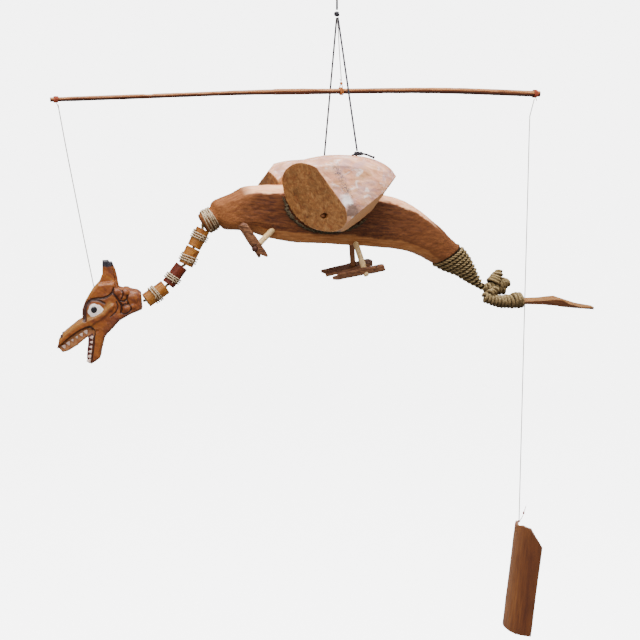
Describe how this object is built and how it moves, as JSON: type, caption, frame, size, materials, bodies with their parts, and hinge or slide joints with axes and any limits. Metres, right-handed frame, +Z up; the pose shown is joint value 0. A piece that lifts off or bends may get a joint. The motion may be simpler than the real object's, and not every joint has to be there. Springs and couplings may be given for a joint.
{
  "type": "hanging dragon mobile",
  "caption": "Carved wooden dragon hung on cords, with a balance stick above that carries the head on one string and a wind paddle on another.",
  "frame": {"origin": "inside the top of the hanging eye, where a hook carries the mobile", "axes": "+Z up along the main cord; the dragon's head points to -X, its tail to +X, and its right flank, the one seen in the picture, to -Y"},
  "size_m": [0.6322, 0.172, 0.7973],
  "materials": {
    "cord": "dark charcoal twisted cord",
    "string": "pale grey cotton string",
    "red_thread": "waxed red-brown thread",
    "stick_wood": "peeled stick, satin varnish",
    "paddle_bamboo": "stained bamboo, satin varnish",
    "head_wood": "carved wood, orange-brown stain, satin varnish, with painted eyes, teeth and horn tips",
    "body_stalk": "fibrous palm stalk, stained red-brown, with a pale strip of skin along the back",
    "wing_stalk": "pale stalk skin with brown fibrous cut faces",
    "foot_wood": "split stalk, matt",
    "peg_wood": "plain pale dowel",
    "light_bead_wood": "light wood, satin",
    "dark_bead_wood": "dark wood, satin",
    "raffia": "dry raffia",
    "rope": "twisted plant-fibre string",
    "blade_wood": "carved pale wood, matt"
  },
  "bodies": {
    "root": {"hanging_eye": "cord", "hanging_cord": "cord", "top_knot": "cord", "near_wing_cord": "cord", "near_wing_cord_knot": "cord", "far_wing_cord": "cord", "far_wing_cord_knot": "cord", "stick_string": "string", "head_string": "string", "paddle_string": "string", "stick_string_knot": "red_thread", "stick_left_wrap": "red_thread", "stick_mid_wrap": "red_thread", "stick_right_wrap": "red_thread", "paddle_knot": "red_thread", "balance_stick": "stick_wood", "wind_paddle": "paddle_bamboo", "head": "head_wood", "body": "body_stalk", "near_wing": "wing_stalk", "far_wing": "wing_stalk", "front_near_foot": "foot_wood", "front_far_foot": "foot_wood", "rear_near_foot": "foot_wood", "rear_far_foot": "foot_wood", "near_wing_pin": "peg_wood", "far_wing_pin": "peg_wood", "front_near_peg": "peg_wood", "front_far_peg": "peg_wood", "rear_near_peg": "peg_wood", "rear_far_peg": "peg_wood", "neck_bead_1": "light_bead_wood", "neck_bead_3": "light_bead_wood", "neck_bead_4": "light_bead_wood", "neck_bead_2": "dark_bead_wood", "neck_wrap_1": "raffia", "neck_wrap_2": "raffia", "neck_wrap_3": "raffia", "neck_wrap_4": "raffia", "neck_end_wrap": "raffia", "neck_cord": "rope", "tail_cone": "rope", "tail_curl": "rope", "tail_blade": "blade_wood"}
  },
  "joints": []
}
